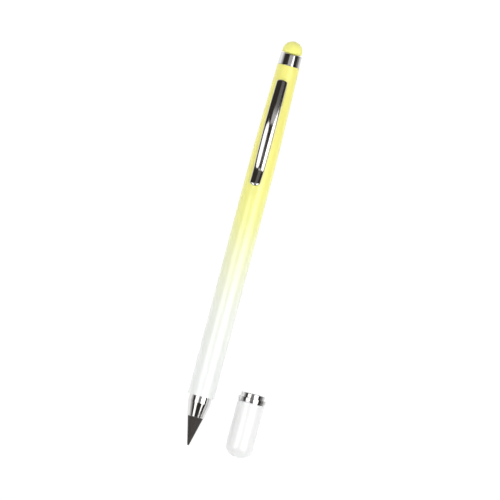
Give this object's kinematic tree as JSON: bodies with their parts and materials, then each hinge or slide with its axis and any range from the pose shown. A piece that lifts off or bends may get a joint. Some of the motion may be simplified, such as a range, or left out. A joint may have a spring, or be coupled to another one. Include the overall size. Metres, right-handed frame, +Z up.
{
  "type": "pencil",
  "caption": "Slim metal pencil with a dark alloy writing cone, a lacquered barrel, a pocket clip, a rubber stylus dome and a domed cap taken off.",
  "frame": {"origin": "centre of the box round the pencil and its cap, on the surface that they lie on", "axes": "+Y along the pencil from the writing point to the stylus dome; +Z up, away from the surface, through the clip; +X from the pencil to its cap"},
  "size_m": [0.027, 0.1432, 0.0113],
  "materials": {
    "barrel_lacquer": "gloss lacquer, white at the writing end and yellow at the top",
    "cap_lacquer": "white gloss lacquer",
    "chrome": "bright plated",
    "point_alloy": "matt, dark grey",
    "steel": "turned",
    "brass": "turned",
    "dome_rubber": "matt",
    "inner_plastic": "moulded"
  },
  "bodies": {
    "pencil": {"barrel": "barrel_lacquer", "nose_cone": "chrome", "top_collar": "chrome", "stylus_dome": "dome_rubber", "stylus_plug": "brass", "clip_retainer": "inner_plastic"},
    "point": {"nib_point": "point_alloy", "nib_stem": "steel"},
    "clip": {"clip": "chrome"},
    "cap": {"cap_shell": "cap_lacquer", "cap_ring": "chrome", "cap_liner": "inner_plastic"}
  },
  "joints": [
    {"name": "clip_flex", "type": "hinge", "parent": "pencil", "child": "clip", "pos_m": [-0.00885, 0.0564, 0.00848], "axis": [-1, 0, 0], "range_deg": [0, 3], "stiffness_Nm_per_rad": 1.5, "springref_deg": -1.15},
    {"name": "point_unscrew", "type": "slide", "parent": "pencil", "child": "point", "axis": [0, -1, 0], "range_m": [0, 0.008]},
    {"name": "cap_slide", "type": "slide", "parent": "pencil", "child": "cap", "axis": [0, -1, 0], "range_m": [0, 0.0237]}
  ]
}
